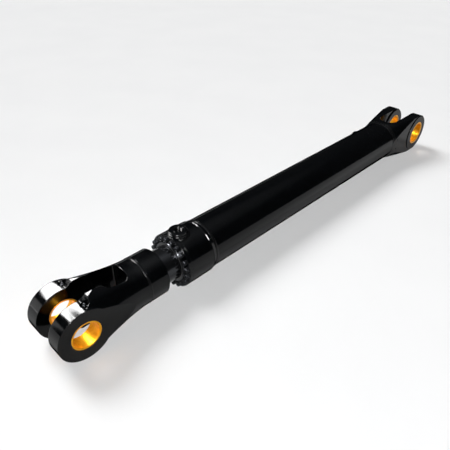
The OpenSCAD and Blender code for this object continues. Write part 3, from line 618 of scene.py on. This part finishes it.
def screw_head_rings():
    """rings of a knurled socket head about +Z from its seat at 0, then down its socket"""
    teeth = 36
    around = 2 * teeth
    rings = []

    def plain(radius, z):
        rings.append(circle(radius, z, around))

    def knurled(radius, z, depth):
        ring = []
        for j in range(around):
            r = radius - (depth if j % 2 else 0)
            ring.append((r * math.cos(TURN * j / around), r * math.sin(TURN * j / around), z))
        rings.append(ring)

    def hexagon(across, z):
        ring = []
        for j in range(around):
            angle = TURN * j / around
            r = hexagon_r(across / 2, angle)
            ring.append((r * math.cos(angle), r * math.sin(angle), z))
        rings.append(ring)

    plain(SCREW_SHANK_R, 0)
    plain(SCREW_HEAD_R - 0.5 * MM, 0)
    plain(SCREW_HEAD_R - 0.3 * MM, 0.4 * MM)
    knurled(SCREW_HEAD_R - 0.1 * MM, 1.0 * MM, 0.1 * MM)
    knurled(SCREW_HEAD_R, 1.6 * MM, 0.45 * MM)
    knurled(SCREW_HEAD_R, SCREW_HEAD_H - 2.2 * MM, 0.45 * MM)
    knurled(SCREW_HEAD_R - 0.15 * MM, SCREW_HEAD_H - 1.6 * MM, 0.1 * MM)
    plain(SCREW_HEAD_R - 0.3 * MM, SCREW_HEAD_H - 1.1 * MM)
    plain(SCREW_HEAD_R - 0.9 * MM, SCREW_HEAD_H - 0.25 * MM)
    plain(SCREW_HEAD_R - 1.5 * MM, SCREW_HEAD_H)
    plain(SOCKET_ACROSS / math.sqrt(3) + 0.35 * MM, SCREW_HEAD_H)
    hexagon(SOCKET_ACROSS, SCREW_HEAD_H - 0.6 * MM)
    hexagon(SOCKET_ACROSS, SCREW_HEAD_H - SOCKET_DEPTH)
    plain(1.2 * MM, SCREW_HEAD_H - SOCKET_DEPTH - 1.4 * MM)
    return rings


def screw_shank_rings(length):
    """rings of the threaded shank, from its pointed end up to the head's seat"""
    around = 72
    pitch = SCREW_THREAD_PITCH
    rings = [circle(3.6 * MM, -length, around), circle(5.1 * MM, -length + 1.6 * MM, around)]
    count = int((length - 4 * MM) / pitch)
    for i in range(count):
        z = -length + 1.6 * MM + pitch * (i + 0.5)
        for r, dz in ((SCREW_SHANK_R - 0.9 * MM, -0.3), (SCREW_SHANK_R - 0.1 * MM, 0.2)):
            rings.append(circle(r, z + dz * pitch, around))
    return rings


def gland_screws():
    """the ring of socket-head screws that holds the gland, each turned by its own amount"""
    low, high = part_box("gland_screws_set")
    seat_x = high.x - SCREW_HEAD_H
    length = seat_x - low.x
    step = TURN / SCREW_COUNT
    pitch_r = (high.z - SCREW_HEAD_R) / math.cos(step / 2)
    rings = screw_shank_rings(length) + screw_head_rings()
    base_vertices, base_faces = skin_rings(rings, False)
    around = len(rings[0])
    cap(base_vertices, base_faces, 0, around, (0, 0, -length), True)
    last = (len(rings) - 1) * around
    cap(base_vertices, base_faces, last, around, (0, 0, rings[-1][0][2] - 0.4 * MM), False)
    vertices = []
    faces = []
    for i in range(SCREW_COUNT):
        angle = (i + 0.5) * step
        spin = Matrix.Rotation(0.37 * i * i, 4, "Z")
        stand = Matrix.Rotation(math.pi / 2, 4, "Y")
        place = Matrix.Rotation(angle, 4, "X") @ Matrix.Translation((seat_x, 0, pitch_r)) @ stand @ spin
        start = len(vertices)
        vertices += [tuple(place @ Vector(v)) for v in base_vertices]
        faces += [tuple(start + k for k in face) for face in base_faces]
    make_piece("gland_screws", vertices, faces, "barrel", "black_oxide_steel", ["gland_screws_set"],
               SCREW_SHARP_DEG)


def nipple_mesh():
    """a grease nipple about +Z from its seat at 0: hexagon, neck, head and ball, thread below"""
    around = 48
    rings = []

    def ring(radius, z, hexagon=False):
        points = []
        for j in range(around):
            angle = TURN * j / around
            r = min(radius, hexagon_r(NIPPLE_HEX_INNER_R, angle)) if hexagon else radius
            points.append((r * math.cos(angle), r * math.sin(angle), z))
        rings.append(points)

    ring(2.2 * MM, NIPPLE_TAIL_Z)
    for i in range(7):
        ring(3.2 * MM, (-7.2 + i) * MM)
        ring(3.95 * MM, (-6.7 + i) * MM)
    ring(3.9 * MM, 0)
    ring(5.7 * MM, 0, True)
    ring(6.3 * MM, 0.5 * MM, True)
    ring(6.3 * MM, 4.4 * MM, True)
    ring(5.6 * MM, 5.0 * MM, True)
    for radius, z in NIPPLE_NECK_MM + NIPPLE_HEAD_MM + NIPPLE_BALL_MM:
        ring(radius * MM, z * MM)
    vertices, faces = skin_rings(rings, False)
    cap(vertices, faces, 0, around, (0, 0, NIPPLE_TAIL_Z), True)
    cap(vertices, faces, (len(rings) - 1) * around, around, (0, 0, NIPPLE_TIP_Z), False)
    return vertices, faces


def grease_nipples(end, body):
    """the two nipples of one clevis, one to each ear, square to the pin"""
    low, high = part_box(end + "_grease_nipples")
    bush_low, bush_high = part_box("rod_bushing_left")
    pin_x = 0.0 if end == "base" else (bush_low.x + bush_high.x) / 2
    base_vertices, base_faces = nipple_mesh()
    vertices = []
    faces = []
    tilt = Matrix.Rotation(math.pi / 2 - math.radians(NIPPLE_AXIS_DEG[end]), 4, "Y")
    for y in (low.y + NIPPLE_INSET, high.y - NIPPLE_INSET):
        place = Matrix.Translation((pin_x, y, 0)) @ tilt @ Matrix.Translation((0, 0, NIPPLE_RIM_R[end]))
        place = place @ Matrix.Rotation(0.4, 4, "Z")
        start = len(vertices)
        vertices += [tuple(place @ Vector(v)) for v in base_vertices]
        faces += [tuple(start + k for k in face) for face in base_faces]
    make_piece(end + "_nipples", vertices, faces, body, "black_oxide_steel", [end + "_grease_nipples"],
               NIPPLE_SHARP_DEG)


def lathe(name, profile, body, slot, replaced):
    """a closed [radius, x] profile turned about the cylinder's axis"""
    around = 192
    rings = []
    for i in range(around):
        angle = TURN * i / around
        rings.append([(x, r * math.cos(angle), r * math.sin(angle)) for r, x in profile])
    vertices, faces = skin_rings(rings, True)
    make_piece(name, vertices, faces, body, slot, replaced, LATHE_SHARP_DEG)


def wiper(name, cad_node, bore_r, body):
    """a wiper with its scraping lip turned outwards, a relief behind it and an inner lip"""
    low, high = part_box(cad_node)
    outer = high.z
    x0 = low.x
    x1 = high.x
    length = x1 - x0
    profile = [(outer, x0), (outer, x1 - 0.4 * MM), (outer - 0.4 * MM, x1), (bore_r + 3.0 * MM, x1),
               (bore_r + 2.4 * MM, x1 - 0.5 * MM), (bore_r + 1.7 * MM, x1 - 0.5 * MM),
               (bore_r + 0.9 * MM, x1 - 0.05 * MM), (bore_r, x1 - 0.2 * MM), (bore_r, x1 - 0.7 * MM),
               (bore_r + 1.1 * MM, x1 - 0.35 * length), (bore_r + 1.3 * MM, x1 - 0.55 * length),
               (bore_r + 0.3 * MM, x0 + 1.2 * MM), (bore_r, x0 + 0.7 * MM), (bore_r + 0.4 * MM, x0)]
    lathe(name, profile, body, "wiper_rubber", [cad_node])


def build_pieces():
    """every piece that stands for a CAD node"""
    barrel_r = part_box("barrel_tube")[1].z
    head_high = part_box("barrel_head")[1]
    base_weld()
    head_weld()
    clevis_weld()
    port_boss("head_port", "head_port_boss", head_high.z, "top", head_high.x - 0.5 * MM)
    port_weld("head_port_fillet", "head_port_weld", "head_port_boss", head_high.z, "top",
              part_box("head_port_weld")[1].x)
    port_boss("base_port", "base_port_boss", barrel_r, "side")
    port_weld("base_port_fillet", "base_port_weld", "base_port_boss", barrel_r, "side")
    gland_screws()
    grease_nipples("base", "barrel")
    grease_nipples("rod", "rod")
    wiper("sleeve_rod_wiper", "sleeve_wiper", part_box("rod_tube")[1].z + WIPER_PLAY, "sleeve")
    wiper("gland_rod_wiper", "gland_wiper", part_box("sleeve_tube")[1].z + WIPER_PLAY, "barrel")


# --- floor, light and camera -----------------------------------------------------------------------

def add_floor():
    """a flat disc under the object's lowest point"""
    around = FLOOR_AROUND
    vertices = [(0, 0, 0)]
    for r in FLOOR_RINGS:
        vertices += circle(r, 0, around)
    faces = [(0, 1 + j, 1 + (j + 1) % around) for j in range(around)]
    for i in range(len(FLOOR_RINGS) - 1):
        a = 1 + i * around
        b = a + around
        faces += [(a + j, b + j, b + (j + 1) % around, a + (j + 1) % around) for j in range(around)]
    mesh = bpy.data.meshes.new("floor")
    mesh.from_pydata(vertices, [], faces)
    floor = bpy.data.objects.new("floor", mesh)
    floor.location = (*FLOOR_CENTRE, cad_low.z)
    bpy.context.scene.collection.objects.link(floor)
    mesh.materials.append(floor_material())


def add_light(name, kind, energy, place, aim=(0, 0, 0)):
    """a lamp at a place, turned towards a point"""
    lamp = bpy.data.lights.new(name, kind)
    lamp.energy = energy
    holder = bpy.data.objects.new(name, lamp)
    holder.location = place
    holder.rotation_euler = (Vector(aim) - Vector(place)).to_track_quat("-Z", "Y").to_euler()
    bpy.context.scene.collection.objects.link(holder)
    return holder


def panel(name, radiance, centre, aim, width, height):
    """a rectangular light that is only seen in reflections"""
    power = radiance * math.pi * width * height
    holder = add_light(name, "AREA", power, centre, aim)
    holder.data.shape = "RECTANGLE"
    holder.data.size = width
    holder.data.size_y = height
    holder.visible_diffuse = False
    holder.visible_camera = False
    return holder


def direction(azimuth_deg, elevation_deg):
    """a unit vector, with azimuth measured from +X towards +Y"""
    a = math.radians(azimuth_deg)
    e = math.radians(elevation_deg)
    return Vector((math.cos(a) * math.cos(e), math.sin(a) * math.cos(e), math.sin(e)))


def add_lights():
    """one shadowing sun, two fills without shadows, and the panels"""
    key = add_light("key_sun", "SUN", KEY_SUN, direction(KEY_SUN_AZIMUTH_DEG, KEY_SUN_ELEVATION_DEG))
    key.data.angle = math.radians(KEY_SUN_WIDTH_DEG)
    key.visible_glossy = False
    fill = add_light("overhead_fill", "SUN", OVERHEAD_FILL, (0, 0, 3))
    front = add_light("front_fill", "POINT", FRONT_FILL, FRONT_FILL_PLACE)
    for soft in (fill, front):
        soft.data.use_shadow = False
        soft.visible_glossy = False
    for name, settings in PANELS.items():
        panel(name, *settings)


def add_world():
    """a studio dome that is dark near the floor and brightens towards the top"""
    world = bpy.data.worlds.new("studio_dome")
    world.use_nodes = True
    tree = world.node_tree
    tree.nodes.clear()
    coords = tree.nodes.new("ShaderNodeTexCoord")
    split = tree.nodes.new("ShaderNodeSeparateXYZ")
    rise = tree.nodes.new("ShaderNodeMath")
    rise.operation = "ARCSINE"
    share = tree.nodes.new("ShaderNodeMath")
    share.operation = "DIVIDE"
    share.inputs[1].default_value = math.pi / 2
    shades = tree.nodes.new("ShaderNodeValToRGB")
    back = tree.nodes.new("ShaderNodeBackground")
    out = tree.nodes.new("ShaderNodeOutputWorld")
    tree.links.new(coords.outputs["Generated"], split.inputs[0])
    tree.links.new(split.outputs[2], rise.inputs[0])
    tree.links.new(rise.outputs[0], share.inputs[0])
    tree.links.new(share.outputs[0], shades.inputs[0])
    tree.links.new(shades.outputs[0], back.inputs[0])
    tree.links.new(back.outputs[0], out.inputs[0])
    elements = shades.color_ramp.elements
    while len(elements) > 1:
        elements.remove(elements[0])
    for i, (place, level) in enumerate(DOME_STOPS):
        element = elements[0] if i == 0 else elements.new(place)
        element.position = place
        element.color = (level * DOME_TINT[0], level * DOME_TINT[1], level * DOME_TINT[2], 1)
    back.inputs[1].default_value = 1.0 / DOME_TINT[1]
    bpy.context.scene.world = world
    world.cycles_visibility.diffuse = False


def add_camera():
    """the photograph's viewing angle"""
    back = Vector((math.sin(CAMERA_AZIMUTH) * math.cos(CAMERA_ELEVATION),
                   math.cos(CAMERA_AZIMUTH) * math.cos(CAMERA_ELEVATION), math.sin(CAMERA_ELEVATION)))
    right = (-back).cross(Vector((0, 0, 1))).normalized()
    up = right.cross(-back)
    rolled_right = right * math.cos(CAMERA_ROLL) + up * math.sin(CAMERA_ROLL)
    rolled_up = up * math.cos(CAMERA_ROLL) - right * math.sin(CAMERA_ROLL)
    lens = bpy.data.cameras.new("camera")
    lens.lens = LENS_MM
    lens.sensor_width = SENSOR_MM
    lens.clip_end = CAMERA_CLIP_END
    camera = bpy.data.objects.new("camera", lens)
    turn = Matrix((rolled_right, rolled_up, back)).transposed().to_4x4()
    camera.matrix_world = Matrix.Translation(CAMERA_PLACE) @ turn
    bpy.context.scene.collection.objects.link(camera)
    bpy.context.scene.camera = camera


dress_cad_nodes()
build_pieces()
add_floor()
add_lights()
add_world()
add_camera()
bpy.context.scene.view_settings.view_transform = "Standard"
bpy.context.scene.view_settings.look = "None"
